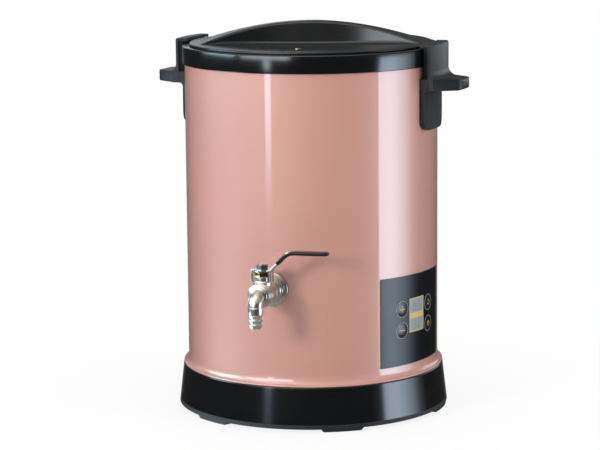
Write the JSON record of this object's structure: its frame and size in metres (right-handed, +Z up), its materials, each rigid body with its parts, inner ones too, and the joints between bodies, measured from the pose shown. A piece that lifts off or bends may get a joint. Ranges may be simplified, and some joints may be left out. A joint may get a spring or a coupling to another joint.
{
  "type": "soap melter",
  "caption": "Round electric soap and wax melting pot: painted drum on a footed base, lift-off lid with arched grip, side handles, lever ball tap and a curved button panel.",
  "frame": {"origin": "on the floor, on the drum's own axis", "axes": "+Z up along the drum's axis; -Y is the front, where the tap points; +X is to the right of someone facing the tap"},
  "size_m": [0.322, 0.3183, 0.3842],
  "materials": {
    "rose_paint": "gloss",
    "gloss_black": "gloss",
    "satin_black": "satin",
    "stainless": "brushed",
    "nickel": "polished nickel plate",
    "plain_steel": "zinc plated",
    "dark_steel": "blackened",
    "aluminium": "cast",
    "silicone": "matte",
    "foot_rubber": "matte",
    "brass": "polished",
    "circuit_board": "satin",
    "glass_fibre": "felted",
    "white_ptfe": "matte",
    "dip_vinyl": "satin",
    "pale_window": "gloss",
    "relay_case": "satin",
    "winding": "varnished"
  },
  "bodies": {
    "drum": {"base_housing": "gloss_black", "bottom_plate": "plain_steel", "base_screws": "plain_steel", "foot_pads": "foot_rubber", "cord_gland": "satin_black", "gland_nut": "satin_black", "outer_shell": "rose_paint", "rim_ring": "gloss_black", "inner_pot": "stainless", "pot_gasket": "silicone", "outlet_socket": "stainless", "insulation_wrap": "glass_fibre", "heater_plate": "aluminium", "heater_tube": "plain_steel", "heater_nut": "plain_steel", "thermal_cutout": "satin_black", "pot_sensor": "brass", "heat_shield": "plain_steel", "shield_posts": "plain_steel", "power_board": "circuit_board", "supply_transformer": "winding", "heater_relay": "relay_case", "terminal_block": "circuit_board", "panel_film": "gloss_black", "panel_tray": "satin_black", "control_board": "circuit_board", "display_module": "white_ptfe", "display_lens": "pale_window", "key_switches": "satin_black", "left_handle": "satin_black", "right_handle": "satin_black", "left_handle_core": "satin_black", "right_handle_core": "satin_black", "handle_screws": "plain_steel", "tap_body": "nickel", "tap_rose": "nickel", "tap_washer": "silicone", "tap_nut": "nickel", "tap_spout": "nickel", "ball_seats": "white_ptfe", "stem_seal": "foot_rubber", "gland_cap": "brass"},
    "lid": {"lid_cover": "satin_black", "lid_grip": "satin_black", "lid_liner": "stainless", "lid_seal": "silicone", "lid_screws": "plain_steel", "grip_screws": "plain_steel", "lid_vent": "brass"},
    "lever": {"tap_lever": "plain_steel", "lever_sleeve": "dip_vinyl", "lever_nut": "dark_steel", "valve_stem": "stainless", "valve_ball": "stainless"},
    "plus_key": {"plus_button": "gloss_black"},
    "minus_key": {"minus_button": "gloss_black"},
    "power_key": {"power_button": "gloss_black"},
    "timer_key": {"timer_button": "gloss_black"}
  },
  "joints": [
    {"name": "lid_lift", "type": "slide", "parent": "drum", "child": "lid", "axis": [0, 0, 1], "range_m": [0, 0.15]},
    {"name": "tap_turn", "type": "hinge", "parent": "drum", "child": "lever", "pos_m": [0, -0.153, 0.138], "axis": [0, 0, 1], "range_deg": [-90, 0]},
    {"name": "plus_press", "type": "slide", "parent": "drum", "child": "plus_key", "axis": [-0.878, 0.4787, 0], "range_m": [0, 0.0008], "stiffness_N_per_m": 500, "springref_m": -0.001},
    {"name": "minus_press", "type": "slide", "parent": "drum", "child": "minus_key", "axis": [-0.878, 0.4787, 0], "range_m": [0, 0.0008], "stiffness_N_per_m": 500, "springref_m": -0.001},
    {"name": "power_press", "type": "slide", "parent": "drum", "child": "power_key", "axis": [-0.9893, 0.1461, 0], "range_m": [0, 0.0008], "stiffness_N_per_m": 500, "springref_m": -0.001},
    {"name": "timer_press", "type": "slide", "parent": "drum", "child": "timer_key", "axis": [-0.9893, 0.1461, 0], "range_m": [0, 0.0008], "stiffness_N_per_m": 500, "springref_m": -0.001}
  ]
}
